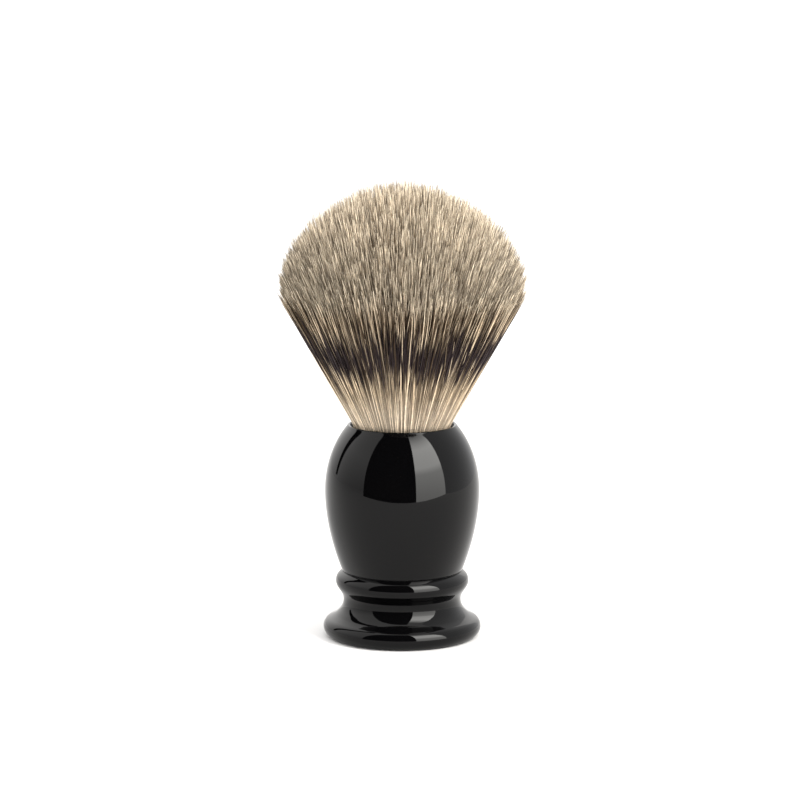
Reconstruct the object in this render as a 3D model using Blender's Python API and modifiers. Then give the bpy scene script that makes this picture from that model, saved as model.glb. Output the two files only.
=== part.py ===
"""A shaving brush: a turned resin handle with a knot of badger hair glued into its socket.

Metres, +Z up. The origin is at the centre of the foot's underside, and the Z axis is the axis
that the handle was turned about. Outlines are lists of (radius, height).
"""

import math

import bmesh
import bpy
from mathutils import Vector
from mathutils.geometry import interpolate_bezier

# The handle, from the foot up
BASE_RADIUS = 0.0154
FOOT_RADIUS = 0.0173
FOOT_HEIGHT = 0.00215
FOOT_ROUND = 0.00215
FOOT_SLOPE = math.radians(62)
CONE_SLOPE = math.radians(46)
CONE_RADIUS = 0.0145
CONE_HEIGHT = 0.0051
NECK_RADIUS = 0.01293
NECK_HEIGHT = 0.0082
BEAD_RADIUS = 0.01463
BEAD_HEIGHT = 0.01234
BEAD_ROUND = 0.00225
BEAD_SLOPE = math.radians(44)
CREASE_SLOPE = math.radians(62)
STEP_HEIGHT = 0.0146
EGG_RADIUS = 0.01695
EGG_HEIGHT = 0.0323
EGG_SHOULDER = 0.0204
EGG_TAPER = 0.0032
EGG_TAPER_LENGTH = 0.01625
EGG_TAPER_POWER = 1.875
HANDLE_HEIGHT = 0.0470
RECESS_RADIUS = 0.0130
RECESS_DEPTH = 0.0008

# The socket and what is glued into it
SOCKET_RADIUS = 0.0113
SOCKET_FLOOR = 0.0310
LIP_RADIUS = 0.0003
GAP = 0.0003
RING_RADIUS = 0.0109
RING_WALL = 0.0010
RING_HEIGHT = 0.0100
RING_LEDGE = 0.0008
ADHESIVE_THICKNESS = 0.0009
PLUG_DEPTH = 0.0024
THREAD_RADIUS = 0.0093
THREAD_THICKNESS = 0.00056
THREAD_PITCH = 0.00064
THREAD_TURNS = 3
THREAD_HEIGHT = 0.0382

# The hair: a bundle tied at the thread, which flares above the socket and ends in a bulb
BUTT_RADIUS = 0.0091
WAIST_RADIUS = 0.0087
RING_TOP_HAIR_RADIUS = 0.0094
MOUTH_HAIR_RADIUS = 0.0110
FLARE = 0.585
BULB_CENTRE = 0.0773
BULB_RADIUS = 0.02645
BULB_RISE = 0.0221
BULB_DROP = 0.0300
BULB_POWER = 1.8

# The knot is drawn as locks of equal share: a core, then rings of 6 and 12
INNER_LOCKS = 6
OUTER_LOCKS = 12
LOCK_COUNT = 1 + INNER_LOCKS + OUTER_LOCKS
CORE_SHARE = math.sqrt(1 / LOCK_COUNT)
INNER_SHARE = math.sqrt((1 + INNER_LOCKS) / LOCK_COUNT)

TURNING_STEPS = 56
HAIR_STEPS = 48
CURVE_POINTS = 6

ADHESIVE_BASE = SOCKET_FLOOR + GAP
RING_BASE = ADHESIVE_BASE + ADHESIVE_THICKNESS + GAP
PLUG_BASE = RING_BASE + RING_LEDGE + GAP
BUTT_HEIGHT = PLUG_BASE + PLUG_DEPTH + GAP
RING_TOP = RING_BASE + RING_HEIGHT
BULB_TOP = BULB_CENTRE + BULB_RISE


def clear_scene():
    for obj in list(bpy.data.objects):
        bpy.data.objects.remove(obj, do_unlink=True)


def new_collection(name, shown=True):
    collection = bpy.data.collections.new(name)
    collection.hide_render = not shown
    bpy.context.scene.collection.children.link(collection)
    return collection


def new_material(name, colour, roughness, coat=0.0):
    material = bpy.data.materials.new(name)
    material.use_nodes = True
    shader = material.node_tree.nodes["Principled BSDF"]
    shader.inputs["Base Color"].default_value = (*colour, 1)
    shader.inputs["Roughness"].default_value = roughness
    shader.inputs["Metallic"].default_value = 0.0
    shader.inputs["Coat Weight"].default_value = coat
    return material


def new_object(name, data, material, collection):
    obj = bpy.data.objects.new(name, data)
    if not data.materials:
        data.materials.append(material)
    collection.objects.link(obj)
    return obj


def turned(name, outline, material, collection, steps=TURNING_STEPS):
    """A solid of revolution. The outline runs down its outer side; it may close or end on the axis."""
    closed = outline[0] == outline[-1]
    points = outline[:-1] if closed else outline
    mesh = bpy.data.meshes.new(name)
    bm = bmesh.new()
    corners = [bm.verts.new((radius, 0, height)) for radius, height in points]
    for start, end in zip(corners, corners[1:]):
        bm.edges.new((start, end))
    if closed:
        bm.edges.new((corners[-1], corners[0]))
    bm.to_mesh(mesh)
    bm.free()
    obj = new_object(name, mesh, material, collection)
    screw = obj.modifiers.new("Turning", "SCREW")
    screw.steps = steps
    screw.render_steps = steps
    screw.use_merge_vertices = True
    screw.merge_threshold = 0.00001
    screw.use_smooth_shade = True
    return obj


def curve(start, start_handle, end_handle, end, count=CURVE_POINTS):
    """Points on a Bezier curve, without its first one, so that stretches join end to end."""
    knots = [Vector((*point, 0)) for point in (start, start_handle, end_handle, end)]
    return [(point.x, point.y) for point in interpolate_bezier(*knots, count)][1:]


def along_slope(point, slope, distance):
    """A point further down a slope, whose surface faces up by that angle. Negative goes back up."""
    radius, height = point
    return radius + distance * math.sin(slope), height - distance * math.cos(slope)


def arc_end(radius, height, roundness, slope):
    """The upper end of an arc that starts at a widest place and turns up to the slope."""
    return radius - roundness * (1 - math.cos(slope)), height + roundness * math.sin(slope)


def arc_handle(radius, angle):
    """How long a Bezier handle is for an arc."""
    return 4 / 3 * math.tan(angle / 4) * radius


def egg_radius(height):
    """The egg is an ellipse above its widest place, and tapers more slowly below it."""
    drop = EGG_HEIGHT - height
    if drop > 0:
        return EGG_RADIUS - EGG_TAPER * (drop / EGG_TAPER_LENGTH) ** EGG_TAPER_POWER
    return EGG_RADIUS * math.sqrt(1 - (drop / EGG_SHOULDER) ** 2)


def egg_outline(top, bottom, count):
    heights = [top + (bottom - top) * step / count for step in range(1, count + 1)]
    return [(egg_radius(height), height) for height in heights]


def handle_outline():
    """Up the socket's wall, over the lip, down the egg, bead, neck and foot, and in under the base."""
    lip_top = HANDLE_HEIGHT - LIP_RADIUS
    socket = [(0, SOCKET_FLOOR), (SOCKET_RADIUS, SOCKET_FLOOR), (SOCKET_RADIUS, lip_top)]
    lip_end = (egg_radius(lip_top), lip_top)
    lip = curve(
        socket[-1],
        (SOCKET_RADIUS, HANDLE_HEIGHT),
        (SOCKET_RADIUS + 2 * LIP_RADIUS, HANDLE_HEIGHT),
        lip_end,
    )
    egg = egg_outline(lip_top, EGG_HEIGHT, 10) + egg_outline(EGG_HEIGHT, STEP_HEIGHT, 8)

    # The bead and the foot's rim are round above their widest places. The bead then runs up in an
    # almost straight slope to a sharp crease under the egg.
    bead_end = arc_end(BEAD_RADIUS, BEAD_HEIGHT, BEAD_ROUND, BEAD_SLOPE)
    bead_handle = arc_handle(BEAD_ROUND, BEAD_SLOPE)
    bead_slope = curve(
        egg[-1],
        along_slope(egg[-1], CREASE_SLOPE, 0.00012),
        along_slope(bead_end, BEAD_SLOPE, -0.0004),
        bead_end,
    )
    bead_top = curve(
        bead_end,
        along_slope(bead_end, BEAD_SLOPE, bead_handle),
        (BEAD_RADIUS, BEAD_HEIGHT + bead_handle),
        (BEAD_RADIUS, BEAD_HEIGHT),
    )
    bead_bottom = curve(
        (BEAD_RADIUS, BEAD_HEIGHT),
        (BEAD_RADIUS, BEAD_HEIGHT - 0.0015),
        (NECK_RADIUS, NECK_HEIGHT + 0.0018),
        (NECK_RADIUS, NECK_HEIGHT),
    )
    cone = (CONE_RADIUS, CONE_HEIGHT)
    neck = curve(
        (NECK_RADIUS, NECK_HEIGHT),
        (NECK_RADIUS, NECK_HEIGHT - 0.0016),
        along_slope(cone, CONE_SLOPE, -0.0009),
        cone,
    )
    rim_start = arc_end(FOOT_RADIUS, FOOT_HEIGHT, FOOT_ROUND, FOOT_SLOPE)
    shelf = curve(
        cone,
        along_slope(cone, CONE_SLOPE, 0.0004),
        along_slope(rim_start, FOOT_SLOPE, -0.0009),
        rim_start,
    )
    rim_handle = arc_handle(FOOT_ROUND, FOOT_SLOPE)
    rim = curve(
        rim_start,
        along_slope(rim_start, FOOT_SLOPE, rim_handle),
        (FOOT_RADIUS, FOOT_HEIGHT + rim_handle),
        (FOOT_RADIUS, FOOT_HEIGHT),
    )
    rim_bottom = curve(
        (FOOT_RADIUS, FOOT_HEIGHT),
        (FOOT_RADIUS, FOOT_HEIGHT - 0.0011),
        (BASE_RADIUS + 0.0010, 0),
        (BASE_RADIUS, 0),
    )
    base = [(RECESS_RADIUS, 0), (RECESS_RADIUS - RECESS_DEPTH, RECESS_DEPTH), (0, RECESS_DEPTH)]
    upper = socket + lip + egg + bead_slope + bead_top + bead_bottom
    return upper + neck + shelf + rim + rim_bottom + base


def make_handle(collection):
    resin = new_material("black_resin", (0.006, 0.006, 0.007), 0.06, coat=0.5)
    turned("handle_body", handle_outline(), resin, collection)


def make_knot_ring(collection):
    """A collar with a ledge at its foot, which the potting plug sits on."""
    plastic = new_material("ring_plastic", (0.02, 0.02, 0.02), 0.45)
    bore = RING_RADIUS - RING_WALL
    ledge = bore - RING_WALL
    ledge_top = RING_BASE + RING_LEDGE
    outline = [
        (bore, RING_TOP),
        (RING_RADIUS, RING_TOP),
        (RING_RADIUS, RING_BASE),
        (ledge, RING_BASE),
        (ledge, ledge_top),
        (bore, ledge_top),
        (bore, RING_TOP),
    ]
    turned("knot_ring", outline, plastic, collection)


def make_potting_plug(collection):
    """Cast resin that crept a little way up the ring's wall as it set."""
    resin = new_material("potting_resin", (0.45, 0.28, 0.09), 0.25)
    radius = RING_RADIUS - RING_WALL - GAP
    stub = radius - RING_WALL
    top = PLUG_BASE + PLUG_DEPTH
    outline = [
        (0, top - 0.0004),
        (radius - 0.0010, top - 0.0003),
        (radius, top),
        (radius, PLUG_BASE),
        (stub, PLUG_BASE),
        (stub, RING_BASE),
        (0, RING_BASE),
    ]
    turned("potting_plug", outline, resin, collection, HAIR_STEPS)


def make_socket_adhesive(collection):
    """The bed of glue that the ring was pressed into, pushed up a little at its edge."""
    glue = new_material("epoxy_glue", (0.62, 0.58, 0.44), 0.3)
    top = ADHESIVE_BASE + ADHESIVE_THICKNESS
    outline = [(0, top), (RING_RADIUS, top), (RING_RADIUS, ADHESIVE_BASE), (0, ADHESIVE_BASE)]
    turned("socket_adhesive", outline, glue, collection, HAIR_STEPS)


def make_binding_thread(collection):
    """Turns of twine round the butts of the hair."""
    twine = new_material("waxed_twine", (0.68, 0.62, 0.50), 0.8)
    steps_per_turn = 24
    data = bpy.data.curves.new("binding_thread", "CURVE")
    data.dimensions = "3D"
    data.bevel_depth = THREAD_THICKNESS / 2
    data.bevel_resolution = 1
    data.use_fill_caps = True
    spline = data.splines.new("POLY")
    count = THREAD_TURNS * steps_per_turn + 1
    spline.points.add(count - 1)
    for index, point in enumerate(spline.points):
        turn = index / steps_per_turn
        angle = turn * math.tau
        height = THREAD_HEIGHT + turn * THREAD_PITCH
        point.co = (THREAD_RADIUS * math.cos(angle), THREAD_RADIUS * math.sin(angle), height, 1)
    new_object("binding_thread", data, twine, collection)


def bundle_stretches():
    """(height, radius) of the bundle's outside: butts, waist under the thread, ring, mouth."""
    return [
        (BUTT_HEIGHT, BUTT_RADIUS),
        (THREAD_HEIGHT - THREAD_THICKNESS, WAIST_RADIUS),
        (THREAD_HEIGHT + THREAD_TURNS * THREAD_PITCH, WAIST_RADIUS),
        (RING_TOP, RING_TOP_HAIR_RADIUS),
        (HANDLE_HEIGHT, MOUTH_HAIR_RADIUS),
    ]


def hair_radius(height):
    """The outside of the bundle at a height. Above the socket it flares in a straight line."""
    stretches = bundle_stretches()
    for (low, low_radius), (high, high_radius) in zip(stretches, stretches[1:]):
        if height <= high:
            return low_radius + (high_radius - low_radius) * (height - low) / (high - low)
    return MOUTH_HAIR_RADIUS + FLARE * (height - HANDLE_HEIGHT)


def tip_height(share):
    """How high a hair ends, when it sits at this share of the bundle's radius.

    The bulb is a rounded superellipse about its widest place, longer below than above.
    """
    low, high = BULB_CENTRE - BULB_DROP / 2, BULB_TOP
    for _ in range(40):
        middle = (low + high) / 2
        across = share * hair_radius(middle) / BULB_RADIUS
        up = (middle - BULB_CENTRE) / (BULB_RISE if middle > BULB_CENTRE else -BULB_DROP)
        inside = across**BULB_POWER + up**BULB_POWER < 1
        low, high = (middle, high) if inside else (low, middle)
    return low


def hair_side(share, shift):
    """One side of a lock, from the butts up, moved out by shift to leave a gap to the next lock."""
    side = [(share * radius + shift, height) for height, radius in bundle_stretches()]
    tip = tip_height(share)
    return side + [(share * hair_radius(tip) + shift, tip)]


def bulb_between(inner_share, outer_share, count=4):
    """Points of the bulb strictly between two shares, from the inner one out."""
    found = []
    for index in range(1, count + 1):
        share = inner_share + (outer_share - inner_share) * index / (count + 1)
        height = tip_height(share)
        found.append((share * hair_radius(height), height))
    return found


def core_outline():
    side = hair_side(CORE_SHARE, -GAP / 2)
    top = [(0, BULB_TOP)] + bulb_between(0, CORE_SHARE, 2)
    return top + side[::-1] + [(0, BUTT_HEIGHT)]


def ring_outline(inner_share, outer_share):
    outer_shift = 0 if outer_share == 1 else -GAP / 2
    inner = hair_side(inner_share, GAP / 2)
    outer = hair_side(outer_share, outer_shift)
    outline = bulb_between(inner_share, outer_share) + outer[::-1] + inner
    return outline + outline[:1]


def wedge_cutter(name, angle, cutters):
    """A prism that keeps one lock of a ring, with half a gap left on either side."""
    reach = 2 * BULB_RADIUS
    half = angle / 2
    apex = GAP / 2 / math.sin(half)
    mesh = bpy.data.meshes.new(name)
    bm = bmesh.new()
    corners = [(apex, 0)]
    for side in (-1, 1):
        corners.append((apex + reach * math.cos(half), side * reach * math.sin(half)))
    face = bm.faces.new([bm.verts.new((x, y, 0)) for x, y in corners])
    raised = bmesh.ops.extrude_face_region(bm, geom=[face])["geom"]
    moved = [item for item in raised if isinstance(item, bmesh.types.BMVert)]
    bmesh.ops.translate(bm, verts=moved, vec=(0, 0, 2 * BULB_TOP))
    bmesh.ops.recalc_face_normals(bm, faces=bm.faces)
    bm.to_mesh(mesh)
    bm.free()
    cutter = bpy.data.objects.new(name, mesh)
    cutter.display_type = "WIRE"
    cutter.hide_render = True
    cutters.objects.link(cutter)
    return cutter


def make_lock_ring(name, count, outline, hair, collection, cutters):
    """A turned ring of hair cut into equal locks. They share one mesh, each turned to its place."""
    first = turned(f"{name}_1", outline, hair, collection, HAIR_STEPS)
    cut = first.modifiers.new("Parting", "BOOLEAN")
    cut.operation = "INTERSECT"
    cut.object = wedge_cutter(f"{name}_cutter", math.tau / count, cutters)
    graph = bpy.context.evaluated_depsgraph_get()
    mesh = bpy.data.meshes.new_from_object(first.evaluated_get(graph))
    mesh.name = name
    first.modifiers.clear()
    first.data = mesh
    for index in range(1, count):
        lock = new_object(f"{name}_{index + 1}", mesh, hair, collection)
        lock.rotation_euler.z = math.tau * index / count


def make_knot(collection, cutters):
    hair = new_material("badger_hair", (0.42, 0.33, 0.22), 0.6)
    turned("hair_core", core_outline(), hair, collection, HAIR_STEPS // 2)
    inner = ring_outline(CORE_SHARE, INNER_SHARE)
    outer = ring_outline(INNER_SHARE, 1)
    make_lock_ring("hair_inner", INNER_LOCKS, inner, hair, collection, cutters)
    make_lock_ring("hair_outer", OUTER_LOCKS, outer, hair, collection, cutters)


def main():
    clear_scene()
    brush = new_collection("shaving_brush")
    cutters = new_collection("cutters", shown=False)
    make_handle(brush)
    make_socket_adhesive(brush)
    make_knot_ring(brush)
    make_potting_plug(brush)
    make_binding_thread(brush)
    make_knot(brush, cutters)


main()
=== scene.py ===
"""Looks for the shaving brush: a turned black resin handle with a knot of banded hair.

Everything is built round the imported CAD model, in metres. The handle is turned again, finely, from
the CAD handle's own outline. Each CAD lock of hair is replaced by its own strands, which fill the
same space: they leave the socket together, flare in straight lines and end on a rounded bulb.
"""

import math

import bmesh
import bpy
import numpy as np
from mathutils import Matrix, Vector, kdtree


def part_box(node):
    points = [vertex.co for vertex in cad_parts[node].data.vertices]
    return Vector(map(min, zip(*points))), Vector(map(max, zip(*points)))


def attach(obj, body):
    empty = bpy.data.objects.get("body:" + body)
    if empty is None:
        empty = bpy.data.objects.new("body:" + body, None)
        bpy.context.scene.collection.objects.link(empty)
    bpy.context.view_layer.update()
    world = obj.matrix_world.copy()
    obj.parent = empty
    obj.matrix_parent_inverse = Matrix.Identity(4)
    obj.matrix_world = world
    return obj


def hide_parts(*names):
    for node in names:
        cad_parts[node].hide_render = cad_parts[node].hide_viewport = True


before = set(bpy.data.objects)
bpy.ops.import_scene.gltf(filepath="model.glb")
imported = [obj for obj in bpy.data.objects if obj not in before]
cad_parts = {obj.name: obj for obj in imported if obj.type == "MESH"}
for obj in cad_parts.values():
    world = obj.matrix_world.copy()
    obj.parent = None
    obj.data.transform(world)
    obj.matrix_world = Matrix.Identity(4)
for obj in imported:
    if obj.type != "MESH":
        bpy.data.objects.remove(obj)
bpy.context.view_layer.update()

# Heights of the CAD nodes.
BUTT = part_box("hair_core")[0].z
BULB_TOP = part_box("hair_core")[1].z
THREAD_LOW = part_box("binding_thread")[0].z
THREAD_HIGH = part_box("binding_thread")[1].z
RING_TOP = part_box("knot_ring")[1].z

# Camera, in front of the brush and a little above it, looking down.
CAMERA_DISTANCE = 0.680
CAMERA_HEIGHT = 0.160
CAMERA_SIDE = -0.00047
CAMERA_PITCH = math.radians(9.01)
LENS = 142.4
SENSOR = 36.0

# The surround, which brightens from the horizon until a direction's z is ZENITH_RISE, and the floor.
WORLD_TINT = (1.0, 0.985, 0.97)
HORIZON_STRENGTH = 1.35
ZENITH_STRENGTH = 2.45
ZENITH_RISE = 0.45
FLOOR_TONE = 0.60
FLOOR_ROUGHNESS = 0.9
FLOOR_SIZE = 6.0

# The opening in front of the brush. Its sides and its split are in shares of its distance.
OPENING_DISTANCE = 0.21
OPENING_LEFT = -1.60
OPENING_SPLIT = 0.36
OPENING_RIGHT = 2.25
OPENING_HEIGHT = 0.76

# The lit wall's shades, over a range of rise: the slope at which it is seen from the handle's middle.
WALL_TINT = (1, 0.99, 0.955)
WALL_BRIGHT = 20.0
HANDLE_MIDDLE = 0.03
WALL_RISE = (-0.2, 2.2)
WALL_SHADES = [
    (0.0, 0.33),
    (0.08, 0.39),
    (0.225, 0.54),
    (0.28, 0.88),
    (0.5, 1.0),
    (0.70, 0.60),
    (1.0, 0.14),
]

# A plain wall from the opening's right edge back.
SIDE_WALL_BRIGHT = 1.5
SIDE_WALL_BACK = 0.8
SIDE_WALL_HEIGHT = 1.2

# A dark seam that widens upwards. Its azimuth is measured from the front towards the left.
SEAM_AZIMUTH = math.radians(116)
SEAM_DISTANCE = 0.30
SEAM_LOW = 0.045
SEAM_HIGH = 0.80
SEAM_LOW_WIDTH = 0.024
SEAM_HIGH_WIDTH = 0.190

# The key light.
KEY_PLACE = (0.55, -0.45, 0.65)
KEY_AIM = Vector((0, 0, 0.06))
KEY_SIZE = 0.35
KEY_ENERGY = 9.0
KEY_COLOUR = (1.0, 0.97, 0.92)

# Handle. A turn above CORNER in its outline stays sharp, and points within NEAR count as one.
HANDLE_SEGMENTS = 224
OUTLINE_SPAN_STEPS = 5
CORNER = math.radians(34)
NEAR = 0.000005
RESIN_DARKEST = (0.0007, 0.0007, 0.0009)
RESIN_PALEST = (0.0016, 0.0015, 0.0016)
RESIN_GLOSS = (0.018, 0.055)
RESIN_IOR = 1.5
RESIN_SPECULAR = 0.155
RESIN_RIPPLE = 0.000012

# The outside of the bundle of hair: its radius at some heights, and its flare above the mouth.
MOUTH = 0.0470
MOUTH_RADIUS = 0.0110
BUTT_RADIUS = 0.0091
WAIST_RADIUS = 0.0087
RING_TOP_RADIUS = 0.0094
FLARE = 0.585
HEIGHTS = (BUTT, THREAD_LOW, THREAD_HIGH, RING_TOP, MOUTH, MOUTH + 1)
RADII = (BUTT_RADIUS, WAIST_RADIUS, WAIST_RADIUS, RING_TOP_RADIUS, MOUTH_RADIUS, MOUTH_RADIUS + FLARE)

# The bulb that the tips make. A higher power gives a squarer shoulder: BULB_POWER above its centre
# and CORNER_POWER below. HALVINGS is how many steps find where a strand meets it.
BULB_CENTRE = 0.0773
BULB_RADIUS = 0.02645
BULB_RISE = BULB_TOP - BULB_CENTRE
BULB_DROP = 0.0300
BULB_POWER = 1.8
CORNER_POWER = 2.4
HALVINGS = 40

# The CAD locks of hair: one core and two rings of locks, all with the same area at the tie.
LOCKS = {"hair_inner": 6, "hair_outer": 12}
LOCK_COUNT = 1 + sum(LOCKS.values())
CORE_SHARE = math.sqrt(1 / LOCK_COUNT)
INNER_SHARE = math.sqrt((1 + LOCKS["hair_inner"]) / LOCK_COUNT)

# Strands. A strand's share is its place from the bundle's middle, 0, to its outside, 1. The two
# steps, taken again and again and kept to their fractions, spread points evenly.
SEED = 17
STRANDS = 25000
OUTERMOST = 0.975
FIRST_FRACTION = 0.5
SHARE_STEP = 0.7548776662466927
ANGLE_STEP = 0.5698402909980532
SHARE_JITTER = 0.004
ANGLE_JITTER = 0.01
STATIONS = np.array([0.0, 0.10, 0.22, 0.34, 0.46, 0.57, 0.67, 0.76, 0.84, 0.91, 0.96, 1.0])

# Clumps, and how far a strand is drawn to its clump's middle, less so deep in the bundle.
CLUMPS = 3000
CLUMP_PULL = (0.12, 0.80)
PULL_SHARES = (0.5, 0.85)
PULL_FACTORS = (0.55, 1.0)

# Lengths: the changes shared by a clump, then those of single strands. A few strands are short
# and a few stand proud. HEIGHT_GAIN is how much of a change of length goes into height.
CLUMP_LENGTH = 0.0005
CLUMP_LENGTH_JITTER = 0.0004
LENGTH_JITTER = 0.0004
LENGTH_LOSS = 0.0006
SHORT_PART = 0.05
SHORT_BY = (0.002, 0.010)
PROUD_PART = 0.012
PROUD_BY = (0.0006, 0.0014)
HEIGHT_GAIN = 0.9

# Bends: a lean that grows towards the tip, and a slow wave. Strays lean further to the side, and
# strands whose share is above OUTSIDE only lean inwards.
LEAN_POWER = 1.6
SIDE_LEAN = 0.0011
STRAY_PART = 0.05
STRAY_TIMES = 3.0
OUT_LEAN = -0.0002
OUT_LEAN_JITTER = 0.00035
OUTSIDE = 0.9
OUTSIDE_LEAN = 0.8
WAVE_SIZE = 0.00026
WAVE_TURN = 5.5

# Widths: thin at the root, full at the band, and drawn out to the tip.
SIDES = 3
HALF_SIDE = 0.5
WIDTH_PLACES = (0, 0.3, 0.84, 1.0)
WIDTHS = (0.000115, 0.000210, 0.0001785, 0.000045)
WIDTH_CHANGE = (0.75, 1.3)

# A strand that ends nearer the axis than ON_AXIS has no outward direction. TINY avoids dividing by 0.
ON_AXIS = 0.00001
TINY = 0.000001

# The strand map: the kind of strand runs across it, dark to light, and the place along a strand up
# it. Its height is COLOUR_LENGTH of strand, with the middle of the dark band at BAND_PLACE. DARKER,
# by share, is the power that makes dark kinds commoner.
STRAND_MAP = "OFBake"
KINDS = 256
COLOUR_LENGTH = 0.080
BAND_PLACE = 0.55
PLACE_LIMITS = (0.001, 0.999)
# The dark kinds are partly painted shade for the gaps between strands, made commoner by share.
DARKER_SHARES = (0.55, 0.85, 1.0)
DARKER = (1.15, 1.72, 1.40)

# The middle of the dark band is at BAND_HEIGHT, or BAND_TO_TIP below the bulb where that is higher.
# Each of its waves has a phase, a number round the knot and a size.
BAND_HEIGHT = 0.0650
BAND_TO_TIP = 0.0135
BAND_WAVES = ((0.4, 3, 0.0004), (2.1, 7, 0.0004), (4.0, 13, 0.0003))
BAND_JITTER = 0.0009

# The dark band on the strand map: where it starts and stops, its soft ends, and its strength, which
# is weak for the few kinds with a low trait. SECOND_DICE gives each kind one more random value.
BAND_START = (0.425, 0.516)
BAND_STOP = (0.534, 0.640)
BAND_FADE_IN = (-0.030, 0.015)
BAND_FADE_OUT = (-0.010, 0.022)
WEAK_BAND_TRAIT = (0.06, 0.27)
BAND_STRENGTH = (0.18, 1.0)
SECOND_DICE = 511.5

# The light colours by place along the strand map, and the tones by kind that multiply them. The tones
# are partly each strand's own colour, partly painted shade in the dark kinds for the gaps between
# strands and painted highlight in the kinds above 1. The contrast, by place, is how far a kind's tone
# stands in for MIDDLE_TONE.
ROOT_PALE = (0.82, 0.695, 0.54)
ROOT_CREAM = (0.57, 0.455, 0.32)
SHAFT_TAUPE = (0.46, 0.365, 0.26)
TIP_CREAM = (0.62, 0.53, 0.405)
TIP_GREY = (0.53, 0.455, 0.35)
BAND_DARK = (0.022, 0.014, 0.015)
HAIR_COLOURS = [
    (0.33, ROOT_PALE),
    (0.41, ROOT_CREAM),
    (0.50, ROOT_CREAM),
    (0.60, SHAFT_TAUPE),
    (0.66, SHAFT_TAUPE),
    (0.705, TIP_CREAM),
    (0.735, TIP_GREY),
]
KIND_TONES_AND_PAINTED_LIGHT = [
    (0.0, (0.055, 0.041, 0.030)),
    (0.29, (0.13, 0.102, 0.075)),
    (0.43, (0.45, 0.42, 0.38)),
    (0.66, (1.04, 1.04, 1.03)),
    (1.0, (2.15, 2.15, 2.13)),
]
MIDDLE_TONE = (0.92, 0.92, 0.92)
KIND_CONTRAST = [(0.36, 0.50), (0.48, 0.95), (0.66, 1.0), (0.735, 0.70)]

# The fine grain along each strand, and the gloss of the hair.
GRAIN_ACROSS = 3.17
GRAIN_ALONG = 55
GRAIN_TONES = (0.72, 1.12)
HAIR_ROUGHNESS = 0.45
HAIR_SPECULAR = 0.15


# ---------------------------------------------------------------- materials

# The sockets of a Mix node in its colour mode: its factor, its two colours and its result.
MIX_INPUTS = (0, 6, 7)
MIX_OUTPUT = 2

# The range that most of a noise's values lie in, and a slightly higher one.
NOISE_RANGE = (0.3, 0.7)
RUBBING_RANGE = (0.35, 0.75)


class Graph:
    """The nodes of one material or world, with a short call for each kind that is used here."""

    def __init__(self, owner):
        owner.use_nodes = True
        self.nodes = owner.node_tree.nodes
        self.links = owner.node_tree.links

    def add(self, kind, **properties):
        node = self.nodes.new(kind)
        for name, value in properties.items():
            setattr(node, name, value)
        return node

    def feed(self, socket, value):
        """Gives a socket a number, a colour or another node's output."""
        if isinstance(value, bpy.types.NodeSocket):
            self.links.new(value, socket)
        elif isinstance(value, tuple):
            socket.default_value = (*value, 1)
        else:
            socket.default_value = value

    def maths(self, operation, first, second=0.0):
        node = self.add("ShaderNodeMath", operation=operation)
        self.feed(node.inputs[0], first)
        self.feed(node.inputs[1], second)
        return node.outputs[0]

    def remap(self, value, source, target):
        """The value carried from one range to another, and kept inside it."""
        node = self.add("ShaderNodeMapRange")
        limits = zip(("From Min", "From Max", "To Min", "To Max"), (*source, *target))
        for name, number in limits:
            node.inputs[name].default_value = number
        self.feed(node.inputs["Value"], value)
        return node.outputs["Result"]

    def ramp(self, factor, stops):
        node = self.add("ShaderNodeValToRGB")
        elements = node.color_ramp.elements
        while len(elements) < len(stops):
            elements.new(0.5)
        for element, (place, colour) in zip(elements, stops):
            element.position = place
            element.color = (*colour, 1)
        self.feed(node.inputs["Fac"], factor)
        return node.outputs["Color"]

    def mix(self, factor, first, second, blend="MIX"):
        node = self.add("ShaderNodeMix", data_type="RGBA", blend_type=blend)
        for index, value in zip(MIX_INPUTS, (factor, first, second)):
            self.feed(node.inputs[index], value)
        return node.outputs[MIX_OUTPUT]

    def noise(self, scale, detail, roughness=0.5, vector=None):
        """Smooth noise, laid out by the object's own coordinates unless a vector is given."""
        node = self.add("ShaderNodeTexNoise")
        node.inputs["Scale"].default_value = scale
        node.inputs["Detail"].default_value = detail
        node.inputs["Roughness"].default_value = roughness
        if vector is None:
            vector = self.add("ShaderNodeTexCoord").outputs["Object"]
        self.feed(node.inputs["Vector"], vector)
        return node.outputs["Fac"]

    def dice(self, number):
        """A random value and a random colour for each number."""
        node = self.add("ShaderNodeTexWhiteNoise", noise_dimensions="1D")
        self.feed(node.inputs["W"], number)
        return node.outputs["Value"], node.outputs["Color"]

    def parts(self, whole, kind="ShaderNodeSeparateXYZ"):
        """The three parts of a vector or, with the other kind of node, of a colour."""
        node = self.add(kind)
        self.feed(node.inputs[0], whole)
        return node.outputs

    def bump(self, shader, height, distance):
        node = self.add("ShaderNodeBump")
        node.inputs["Distance"].default_value = distance
        self.feed(node.inputs["Height"], height)
        self.feed(shader.inputs["Normal"], node.outputs["Normal"])


def greys(stops):
    """Ramp stops in grey, from (place, tone) pairs."""
    return [(place, (tone, tone, tone)) for place, tone in stops]


def new_material(name):
    material = bpy.data.materials.new(name)
    graph = Graph(material)
    return material, graph, graph.nodes["Principled BSDF"]


def resin_material():
    """Polished black cast resin: nearly black, with faint rubbing in its gloss."""
    material, graph, shader = new_material("black_resin")
    tone = graph.noise(scale=60, detail=3)
    graph.feed(shader.inputs["Base Color"], graph.mix(tone, RESIN_DARKEST, RESIN_PALEST))
    rubbing = graph.noise(scale=420, detail=4, roughness=0.7)
    graph.feed(shader.inputs["Roughness"], graph.remap(rubbing, RUBBING_RANGE, RESIN_GLOSS))
    shader.inputs["IOR"].default_value = RESIN_IOR
    shader.inputs["Specular IOR Level"].default_value = RESIN_SPECULAR
    graph.bump(shader, graph.noise(scale=90, detail=1), RESIN_RIPPLE)
    return material


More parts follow.
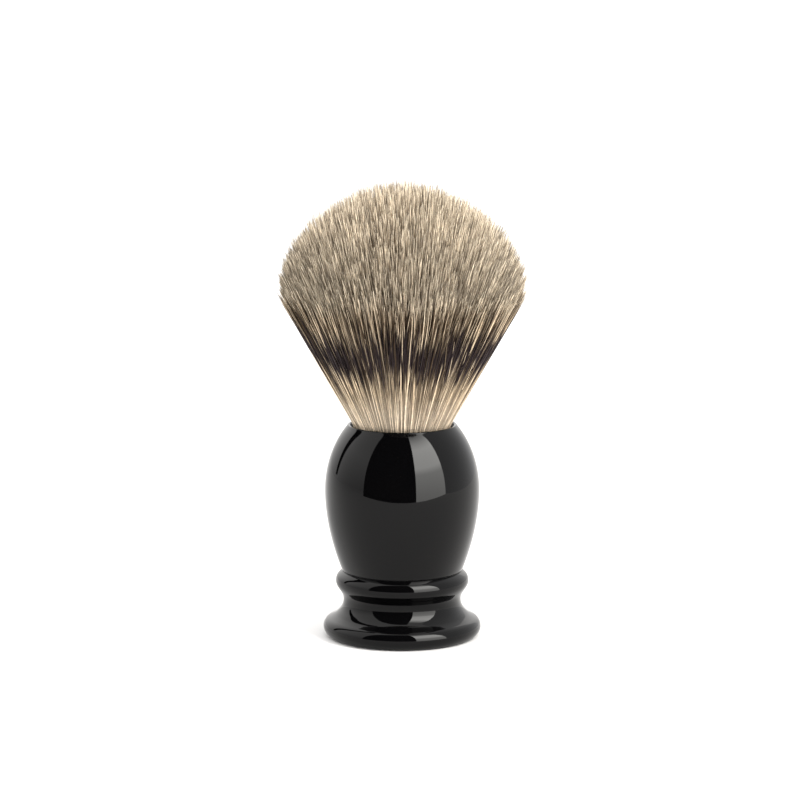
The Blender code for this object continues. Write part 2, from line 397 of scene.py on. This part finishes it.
def hair_material():
    """Banded badger hair. Each column of the strand map is one kind of strand, root to tip."""
    material, graph, shader = new_material("badger_hair")
    across, along, _ = graph.parts(graph.add("ShaderNodeUVMap", uv_map=STRAND_MAP).outputs["UV"])
    column = graph.maths("FLOOR", graph.maths("MULTIPLY", across, KINDS))
    _, colour_dice = graph.dice(column)
    stop_trait, _, strength_trait = graph.parts(colour_dice, "ShaderNodeSeparateColor")
    start_trait, _ = graph.dice(graph.maths("ADD", column, SECOND_DICE))

    # The light colours along a strand, toned by its kind: partly its own colour, partly painted shade in
    # the dark kinds and painted highlight in the brightest. The kinds differ most in the shaft.
    light = graph.ramp(along, HAIR_COLOURS)
    kind_tone_and_painted_light = graph.ramp(graph.maths("DIVIDE", column, KINDS), KIND_TONES_AND_PAINTED_LIGHT)
    tone = graph.mix(graph.ramp(along, greys(KIND_CONTRAST)), MIDDLE_TONE, kind_tone_and_painted_light)
    tinted = graph.mix(1.0, light, tone, "MULTIPLY")

    # The dark band starts and stops at a different place in each column.
    start = graph.remap(start_trait, (0, 1), BAND_START)
    stop = graph.remap(stop_trait, (0, 1), BAND_STOP)
    risen = graph.remap(graph.maths("SUBTRACT", along, start), BAND_FADE_IN, (0, 1))
    fallen = graph.remap(graph.maths("SUBTRACT", along, stop), BAND_FADE_OUT, (1, 0))
    strength = graph.remap(strength_trait, WEAK_BAND_TRAIT, BAND_STRENGTH)
    band = graph.maths("MULTIPLY", graph.maths("MULTIPLY", risen, fallen), strength)
    banded = graph.mix(band, tinted, BAND_DARK)

    # A grain along each strand, different in each column.
    grain_place = graph.add("ShaderNodeCombineXYZ")
    graph.feed(grain_place.inputs[0], graph.maths("MULTIPLY", column, GRAIN_ACROSS))
    graph.feed(grain_place.inputs[1], graph.maths("MULTIPLY", along, GRAIN_ALONG))
    grain = graph.noise(scale=1, detail=2, vector=grain_place.outputs[0])
    graininess = graph.remap(grain, NOISE_RANGE, GRAIN_TONES)
    graph.feed(shader.inputs["Base Color"], graph.mix(1.0, banded, graininess, "MULTIPLY"))
    shader.inputs["Roughness"].default_value = HAIR_ROUGHNESS
    shader.inputs["Specular IOR Level"].default_value = HAIR_SPECULAR
    return material


def speckled_material(name, low, high, scale, roughness, relief):
    """A moulded, cast or waxed surface: two tones, a range of roughness and a relief, by one noise."""
    material, graph, shader = new_material(name)
    pattern = graph.noise(scale=scale, detail=4, roughness=0.6)
    graph.feed(shader.inputs["Base Color"], graph.mix(pattern, low, high))
    graph.feed(shader.inputs["Roughness"], graph.remap(pattern, NOISE_RANGE, roughness))
    graph.bump(shader, pattern, relief)
    return material


def glow_material(name, strength, colour=(1, 1, 1)):
    """A surface that only gives off light, with its nodes and its glow for further changes."""
    material = bpy.data.materials.new(name)
    graph = Graph(material)
    graph.nodes.clear()
    glow = graph.add("ShaderNodeEmission")
    graph.feed(glow.inputs["Color"], colour)
    graph.feed(glow.inputs["Strength"], strength)
    graph.feed(graph.add("ShaderNodeOutputMaterial").inputs["Surface"], glow.outputs[0])
    return material, graph, glow


def lit_wall_material():
    """Grey and dim near the floor, bright above a soft edge, and dim again towards the ceiling."""
    material, graph, glow = glow_material("lit_wall", WALL_BRIGHT, WALL_TINT)
    x, y, z = graph.parts(graph.add("ShaderNodeTexCoord").outputs["Object"])
    squares = [graph.maths("MULTIPLY", axis, axis) for axis in (x, y)]
    away = graph.maths("SQRT", graph.maths("ADD", *squares))
    rise = graph.maths("DIVIDE", graph.maths("SUBTRACT", z, HANDLE_MIDDLE), away)
    shade = graph.ramp(graph.remap(rise, WALL_RISE, (0, 1)), greys(WALL_SHADES))
    graph.feed(glow.inputs["Strength"], graph.maths("MULTIPLY", shade, WALL_BRIGHT))
    return material


# ---------------------------------------------------------------- the stage

def add_object(name, data):
    thing = bpy.data.objects.new(name, data)
    bpy.context.scene.collection.objects.link(thing)
    return thing


def make_camera():
    data = bpy.data.cameras.new("camera")
    data.lens = LENS
    data.sensor_width = SENSOR
    camera = add_object("camera", data)
    camera.location = (CAMERA_SIDE, -CAMERA_DISTANCE, CAMERA_HEIGHT)
    camera.rotation_euler = (math.pi / 2 - CAMERA_PITCH, 0, 0)
    bpy.context.scene.camera = camera


def make_world():
    """A white surround, brighter overhead than at the horizon."""
    world = bpy.data.worlds.new("white_surround")
    bpy.context.scene.world = world
    graph = Graph(world)
    _, _, up = graph.parts(graph.add("ShaderNodeTexCoord").outputs["Generated"])
    rise = graph.remap(up, (0.0, ZENITH_RISE), (HORIZON_STRENGTH, ZENITH_STRENGTH))
    background = graph.nodes["Background"]
    graph.feed(background.inputs["Color"], WORLD_TINT)
    graph.feed(background.inputs["Strength"], rise)
    bpy.context.scene.view_settings.view_transform = "Standard"


def add_rectangle(name, corners, material):
    mesh = bpy.data.meshes.new(name)
    mesh.from_pydata(corners, [], [(0, 1, 2, 3)])
    mesh.materials.append(material)
    rectangle = add_object(name, mesh)
    return rectangle


def make_floor():
    half = FLOOR_SIZE / 2
    corners = [(-half, -half, 0), (half, -half, 0), (half, half, 0), (-half, half, 0)]
    material, graph, shader = new_material("pale_floor")
    graph.feed(shader.inputs["Base Color"], (FLOOR_TONE, FLOOR_TONE, FLOOR_TONE))
    shader.inputs["Roughness"].default_value = FLOOR_ROUGHNESS
    shader.inputs["Specular IOR Level"].default_value = 0.0
    add_rectangle("floor", corners, material)


def make_card(name, corners, material):
    """A panel that only shows as a reflection."""
    card = add_rectangle(name, corners, material)
    card.visible_camera = False
    card.visible_diffuse = False
    card.visible_shadow = False
    card.visible_transmission = False


def upright(start, end, height):
    """The corners of an upright rectangle on the floor, from one spot to another."""
    return [(*start, 0), (*end, 0), (*end, height), (*start, height)]


def make_cards():
    """The open front of a light tent: a dark room beyond its left part, a lit wall beyond its right."""
    front = -OPENING_DISTANCE
    left, split, right = (
        (share * OPENING_DISTANCE, front) for share in (OPENING_LEFT, OPENING_SPLIT, OPENING_RIGHT)
    )
    dark = glow_material("darkness", 0.0)[0]
    side = glow_material("side_wall", SIDE_WALL_BRIGHT)[0]
    make_card("dark_room", upright(left, split, OPENING_HEIGHT), dark)
    make_card("lit_wall", upright(split, right, OPENING_HEIGHT), lit_wall_material())
    make_card("side_wall", upright(right, (right[0], SIDE_WALL_BACK), SIDE_WALL_HEIGHT), side)
    spot = Vector((-math.sin(SEAM_AZIMUTH), -math.cos(SEAM_AZIMUTH))) * SEAM_DISTANCE
    across = Vector((-math.cos(SEAM_AZIMUTH), math.sin(SEAM_AZIMUTH))) / 2
    corners = []
    for end, height, width in (
        (-1, SEAM_LOW, SEAM_LOW_WIDTH),
        (1, SEAM_LOW, SEAM_LOW_WIDTH),
        (1, SEAM_HIGH, SEAM_HIGH_WIDTH),
        (-1, SEAM_HIGH, SEAM_HIGH_WIDTH),
    ):
        corners.append((*(spot + across * end * width), height))
    make_card("seam", corners, dark)


def make_key_light():
    """Soft light from the upper right, which gives the strands their shadows."""
    data = bpy.data.lights.new("key", "AREA")
    data.shape = "DISK"
    data.size = KEY_SIZE
    data.energy = KEY_ENERGY
    data.color = KEY_COLOUR
    key = add_object("key", data)
    key.location = KEY_PLACE
    key.rotation_euler = (KEY_AIM - key.location).to_track_quat("-Z", "Y").to_euler()
    key.visible_camera = False
    key.visible_glossy = False


# ---------------------------------------------------------------- the handle

def meridian(node):
    """The outline of a turned CAD node, from the axis round to the axis: its points at +X, in order."""
    bm = bmesh.new()
    bm.from_mesh(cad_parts[node].data)
    bmesh.ops.remove_doubles(bm, verts=bm.verts, dist=NEAR)
    on_plane = {v for v in bm.verts if abs(v.co.y) < NEAR and v.co.x > NEAR}
    beside = {v: [e.other_vert(v) for e in v.link_edges if e.other_vert(v) in on_plane] for v in on_plane}
    ends = [v for v in on_plane if len(beside[v]) == 1]
    chain = [max(ends, key=lambda v: v.co.z)]
    while True:
        onward = [v for v in beside[chain[-1]] if v not in chain[-2:]]
        if not onward:
            break
        chain.append(onward[0])
    points = [(v.co.x, v.co.z) for v in chain]
    bm.free()
    return np.array([(0.0, points[0][1])] + points + [(0.0, points[-1][1])])


def turn_at(points, index):
    """The angle by which the outline turns at one of its points."""
    before = points[index] - points[index - 1]
    after = points[index + 1] - points[index]
    cosine = before @ after / (np.linalg.norm(before) * np.linalg.norm(after))
    return math.acos(max(-1.0, min(1.0, cosine)))


def smooth_through(points, steps):
    """A smooth line through the points. Its direction at each point comes from the two beside it."""
    if len(points) < 3:
        return points
    gaps = np.linalg.norm(np.diff(points, axis=0), axis=1)[:, None]
    slopes = np.diff(points, axis=0) / gaps
    inner = (slopes[:-1] * gaps[1:] + slopes[1:] * gaps[:-1]) / (gaps[:-1] + gaps[1:])
    tangents = np.concatenate([2 * slopes[:1] - inner[:1], inner, 2 * slopes[-1:] - inner[-1:]])
    out = []
    for index, gap in enumerate(gaps):
        for step in range(steps):
            t = step / steps
            placed = (2 * t**3 - 3 * t**2 + 1) * points[index] + (3 * t**2 - 2 * t**3) * points[index + 1]
            lean = (t**3 - 2 * t**2 + t) * tangents[index] + (t**3 - t**2) * tangents[index + 1]
            out.append(placed + lean * gap)
    out.append(points[-1])
    return np.array(out)


def smooth_outline(points, steps):
    """The outline with smooth stretches between its corners."""
    corners = [0]
    corners += [i for i in range(1, len(points) - 1) if turn_at(points, i) > CORNER]
    corners.append(len(points) - 1)
    stretches = [smooth_through(points[a:b + 1], steps) for a, b in zip(corners, corners[1:])]
    return np.concatenate([stretches[0]] + [stretch[1:] for stretch in stretches[1:]])


def lathe(name, outline, segments):
    """A turned mesh. Outline points on the axis become single points, with triangles round them."""
    mesh = bpy.data.meshes.new(name)
    bm = bmesh.new()
    rings = []
    for radius, height in outline:
        if radius < NEAR:
            rings.append([bm.verts.new((0, 0, height))])
            continue
        ring = []
        for index in range(segments):
            angle = math.tau * index / segments
            ring.append(bm.verts.new((radius * math.cos(angle), radius * math.sin(angle), height)))
        rings.append(ring)
    for upper, lower in zip(rings, rings[1:]):
        for index in range(segments):
            onward = (index + 1) % segments
            corners = [upper[index % len(upper)], lower[index % len(lower)]]
            if len(lower) > 1:
                corners.append(lower[onward])
            if len(upper) > 1:
                corners.append(upper[onward])
            bm.faces.new(corners)
    bmesh.ops.recalc_face_normals(bm, faces=bm.faces)
    bm.to_mesh(mesh)
    bm.free()
    mesh.shade_smooth()
    mesh.set_sharp_from_angle(angle=CORNER)
    return mesh


def make_handle(resin):
    points = meridian("handle_body")
    outline = smooth_outline(points, OUTLINE_SPAN_STEPS)
    # The smoothing stays within the CAD handle's height, so the foot stands flat.
    outline[:, 1] = np.clip(outline[:, 1], points[:, 1].min(), points[:, 1].max())
    mesh = lathe("resin_handle", outline, HANDLE_SEGMENTS)
    mesh.materials.append(resin)
    handle = add_object("resin_handle", mesh)
    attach(handle, "root")
    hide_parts("handle_body")


# ---------------------------------------------------------------- the hair

def bundle_radius(height):
    return np.interp(height, HEIGHTS, RADII)


def tip_height(share):
    """How high a strand meets the bulb's surface, when it sits at this share of the bundle's radius."""
    low = np.full(share.shape, BULB_CENTRE - BULB_DROP / 2)
    high = np.full(share.shape, BULB_TOP)
    for _ in range(HALVINGS):
        middle = (low + high) / 2
        across = share * bundle_radius(middle) / BULB_RADIUS
        above = middle > BULB_CENTRE
        up = np.abs(middle - BULB_CENTRE) / np.where(above, BULB_RISE, BULB_DROP)
        inside = across**BULB_POWER + up ** np.where(above, BULB_POWER, CORNER_POWER) < 1
        low = np.where(inside, middle, low)
        high = np.where(inside, high, middle)
    return low


def on_ray(share, angle, height):
    """Points (strands, stations, 3) of strands that keep their share and angle at these heights."""
    radius = share[:, None] * bundle_radius(height)
    x = radius * np.cos(angle)[:, None]
    y = radius * np.sin(angle)[:, None]
    return np.stack([x, y, height], axis=2)


def flat_spot(share, angle):
    return share * math.cos(angle), share * math.sin(angle), 0


def place_strands(rng):
    """Each strand's share and angle, spread evenly over the bundle and then jittered."""
    index = np.arange(STRANDS)
    share = OUTERMOST * np.sqrt((FIRST_FRACTION + index * SHARE_STEP) % 1)
    angle = math.tau * ((FIRST_FRACTION + index * ANGLE_STEP) % 1)
    share = np.clip(share + rng.normal(0, SHARE_JITTER, STRANDS), 0.0, OUTERMOST)
    return share, angle + rng.normal(0, ANGLE_JITTER, STRANDS)


def gather_clumps(rng, share, angle):
    """Each strand's clump, the share and angle of the clump's middle, and the pull towards it."""
    clump_share = np.sqrt(rng.random(CLUMPS))
    clump_angle = math.tau * rng.random(CLUMPS)
    tree = kdtree.KDTree(CLUMPS)
    for number, middle in enumerate(zip(clump_share, clump_angle)):
        tree.insert(flat_spot(*middle), number)
    tree.balance()
    clump = np.array([tree.find(flat_spot(*strand))[1] for strand in zip(share, angle)])
    pull = rng.uniform(*CLUMP_PULL, CLUMPS)[clump] * np.interp(share, PULL_SHARES, PULL_FACTORS)
    return clump, clump_share[clump], clump_angle[clump], pull


def length_changes(rng, clump):
    """How much longer each strand is than the bulb's surface asks for."""
    change = rng.normal(CLUMP_LENGTH, CLUMP_LENGTH_JITTER, CLUMPS)[clump]
    change = change + rng.normal(0, LENGTH_JITTER, STRANDS)
    change -= np.abs(rng.normal(0, LENGTH_LOSS, STRANDS))
    short = rng.random(STRANDS) < SHORT_PART
    change = np.where(short, -rng.uniform(*SHORT_BY, STRANDS), change)
    proud = rng.random(STRANDS) < PROUD_PART
    return np.where(proud, rng.uniform(*PROUD_BY, STRANDS), change)


def station_heights(tip):
    """The heights of each strand's points: three below the mouth, then the stations up to the tip."""
    free = MOUTH + STATIONS[None, :] * (tip - MOUTH)[:, None]
    held = np.array([BUTT, THREAD_LOW, RING_TOP])
    return np.concatenate([np.repeat(held[None, :], STRANDS, axis=0), free], axis=1)


def bends(rng, share, angle, t):
    """How far the points move: a lean towards the tip, a slow wave, and a few strands that stray."""
    outward = np.stack([np.cos(angle), np.sin(angle), np.zeros(STRANDS)], axis=1)
    around = np.stack([-np.sin(angle), np.cos(angle), np.zeros(STRANDS)], axis=1)
    stray = rng.random(STRANDS) < STRAY_PART
    side_lean = rng.normal(0, SIDE_LEAN, STRANDS) * np.where(stray, STRAY_TIMES, 1.0)
    out_lean = rng.normal(OUT_LEAN, OUT_LEAN_JITTER, STRANDS)
    # The outermost strands only lean inwards.
    out_lean = np.where(share > OUTSIDE, -np.abs(out_lean) * OUTSIDE_LEAN, out_lean)
    wave = rng.normal(0, WAVE_SIZE, STRANDS)
    phase = rng.uniform(0, math.tau, STRANDS)
    swing = np.sin(t * WAVE_TURN + phase[:, None]) * t
    sideways = side_lean[:, None] * t**LEAN_POWER + wave[:, None] * swing
    outwards = out_lean[:, None] * t**LEAN_POWER
    return sideways[..., None] * around[:, None, :] + outwards[..., None] * outward[:, None, :]


def colour_places(rng, line, height, top, angle):
    """Where each point is along the strand map, by its length from the middle of the dark band."""
    step = np.linalg.norm(np.diff(line, axis=1), axis=2)
    along = np.concatenate([np.zeros((STRANDS, 1)), np.cumsum(step, axis=1)], axis=1)
    band = np.maximum(BAND_HEIGHT, top - BAND_TO_TIP)
    wander = np.zeros(STRANDS)
    for phase, number, size in BAND_WAVES:
        wander += size * np.sin(angle * number + phase)
    band += wander
    band += rng.normal(0, BAND_JITTER, STRANDS)
    band_along = np.array([np.interp(b, z, a) for b, z, a in zip(band, height, along)])
    return np.clip(BAND_PLACE + (along - band_along[:, None]) / COLOUR_LENGTH, *PLACE_LIMITS)


def grow_strands(rng):
    """Each strand's share and angle, its middle line, its widths, and its place on the strand map."""
    share, angle = place_strands(rng)
    clump, clump_share, clump_angle, pull = gather_clumps(rng, share, angle)
    top = tip_height(share)
    tip = top + length_changes(rng, clump) * HEIGHT_GAIN
    height = station_heights(tip)
    t = np.clip((height - MOUTH) / (tip - MOUTH)[:, None], 0, 1)
    line = on_ray(share, angle, height)
    leader = on_ray(clump_share, clump_angle, height)
    line += (pull[:, None] * t**2)[..., None] * (leader - line)
    line += bends(rng, share, angle, t)
    colour_place = colour_places(rng, line, height, top, angle)
    width = np.interp(t, WIDTH_PLACES, WIDTHS) * rng.uniform(*WIDTH_CHANGE, STRANDS)[:, None]
    # Darker kinds, which are partly painted shade for the gaps between strands, are commoner towards the
    # outside.
    darker = np.interp(share, DARKER_SHARES, DARKER)
    kind = (rng.random(STRANDS) ** darker * KINDS).astype(int)
    return share, angle, line, width, colour_place, kind


def tube_points(line, width, roll):
    """Points (strands, stations, sides, 3) round the middle lines."""
    tangent = np.gradient(line, axis=1)
    tangent /= np.linalg.norm(tangent, axis=2, keepdims=True)
    outward = line[:, -1] * (1, 1, 0)
    size = np.maximum(np.linalg.norm(outward, axis=1, keepdims=True), TINY)
    across = np.cross((0.0, 0.0, 1.0), outward / size)
    across[size[:, 0] < ON_AXIS] = (1, 0, 0)
    first = across[:, None, :] - (across[:, None, :] * tangent).sum(2, keepdims=True) * tangent
    first /= np.linalg.norm(first, axis=2, keepdims=True)
    second = np.cross(tangent, first)
    turns = roll[:, None] + math.tau * np.arange(SIDES)[None, :] / SIDES
    cosine = np.cos(turns)[:, None, :, None]
    sine = np.sin(turns)[:, None, :, None]
    ring = first[:, :, None, :] * cosine + second[:, :, None, :] * sine
    return line[:, :, None, :] + ring * (width / 2)[:, :, None, None]


def tube_faces(colour_place, kind):
    """The faces of the tubes, as (corner points, places on the strand map) with one row a strand."""
    strands, stations = colour_place.shape
    first = np.arange(strands) * stations

    def face(corners, shift):
        points = [(first + station) * SIDES + side % SIDES for station, side in corners]
        columns = [(kind + (side + shift) / SIDES) / KINDS for _, side in corners]
        rows = [colour_place[:, station] for station, _ in corners]
        places = np.stack([np.stack(columns, axis=1), np.stack(rows, axis=1)], axis=2)
        return np.stack(points, axis=1), places

    faces = []
    for side in range(SIDES):
        for station in range(stations - 1):
            up, beside = station + 1, side + 1
            faces.append(face([(station, side), (station, beside), (up, beside), (up, side)], 0))
    faces.append(face([(0, side) for side in reversed(range(SIDES))], HALF_SIDE))
    faces.append(face([(stations - 1, side) for side in range(SIDES)], HALF_SIDE))
    return faces


def build_mesh(name, points, faces):
    """A smooth-shaded mesh with the strand map."""
    mesh = bpy.data.meshes.new(name)
    mesh.vertices.add(points.size // 3)
    mesh.vertices.foreach_set("co", points.astype(np.float32).ravel())
    loops = np.concatenate([corners.ravel() for corners, _ in faces]).astype(np.int32)
    mesh.loops.add(len(loops))
    mesh.loops.foreach_set("vertex_index", loops)
    sizes = np.concatenate([np.full(len(corners), corners.shape[1]) for corners, _ in faces])
    starts = np.concatenate([[0], np.cumsum(sizes)[:-1]]).astype(np.int32)
    mesh.polygons.add(len(sizes))
    mesh.polygons.foreach_set("loop_start", starts)
    places = np.concatenate([places.reshape(-1, 2) for _, places in faces])
    mesh.uv_layers.new(name=STRAND_MAP).data.foreach_set("uv", places.astype(np.float32).ravel())
    mesh.update(calc_edges=True)
    mesh.validate()
    mesh.shade_smooth()
    return mesh


def make_lock(node, chosen, strands, hair):
    """The chosen strands as one piece of thin tubes, closed at both ends, in place of a CAD lock."""
    line, width, colour_place, kind, roll = (values[chosen] for values in strands)
    name = node.replace("hair", "strands")
    mesh = build_mesh(name, tube_points(line, width, roll), tube_faces(colour_place, kind))
    mesh.materials.append(hair)
    lock = add_object(name, mesh)
    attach(lock, "root")
    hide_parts(node)


def make_knot(hair):
    rng = np.random.default_rng(SEED)
    share, angle, *strands = grow_strands(rng)
    strands.append(rng.uniform(0, math.tau, STRANDS))
    make_lock("hair_core", share < CORE_SHARE, strands, hair)
    rings = (("hair_inner", CORE_SHARE, INNER_SHARE), ("hair_outer", INNER_SHARE, math.inf))
    for ring, low, high in rings:
        count = LOCKS[ring]
        lock = np.round(angle / (math.tau / count)).astype(int) % count
        in_ring = (share >= low) & (share < high)
        for number in range(count):
            make_lock(f"{ring}_{number + 1}", in_ring & (lock == number), strands, hair)


# ---------------------------------------------------------------- the pieces inside the socket

def dress_inner_nodes():
    """The hidden CAD nodes keep their shapes and get their own materials."""
    plastic = speckled_material(
        "ring_plastic",
        low=(0.012, 0.012, 0.013),
        high=(0.026, 0.026, 0.027),
        scale=900,
        roughness=(0.38, 0.55),
        relief=0.00001,
    )
    potting = speckled_material(
        "potting_resin",
        low=(0.34, 0.19, 0.06),
        high=(0.52, 0.34, 0.13),
        scale=240,
        roughness=(0.15, 0.32),
        relief=0.00004,
    )
    glue = speckled_material(
        "epoxy_glue",
        low=(0.50, 0.46, 0.33),
        high=(0.68, 0.64, 0.50),
        scale=320,
        roughness=(0.22, 0.45),
        relief=0.00005,
    )
    twine = speckled_material(
        "waxed_twine",
        low=(0.40, 0.34, 0.25),
        high=(0.70, 0.64, 0.52),
        scale=2600,
        roughness=(0.62, 0.9),
        relief=0.00006,
    )
    looks = {
        "knot_ring": plastic,
        "potting_plug": potting,
        "socket_adhesive": glue,
        "binding_thread": twine,
    }
    for node, material in looks.items():
        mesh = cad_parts[node].data
        mesh.materials.clear()
        mesh.materials.append(material)


# ---------------------------------------------------------------- all together

make_camera()
make_world()
make_floor()
make_cards()
make_key_light()
make_handle(resin_material())
make_knot(hair_material())
dress_inner_nodes()
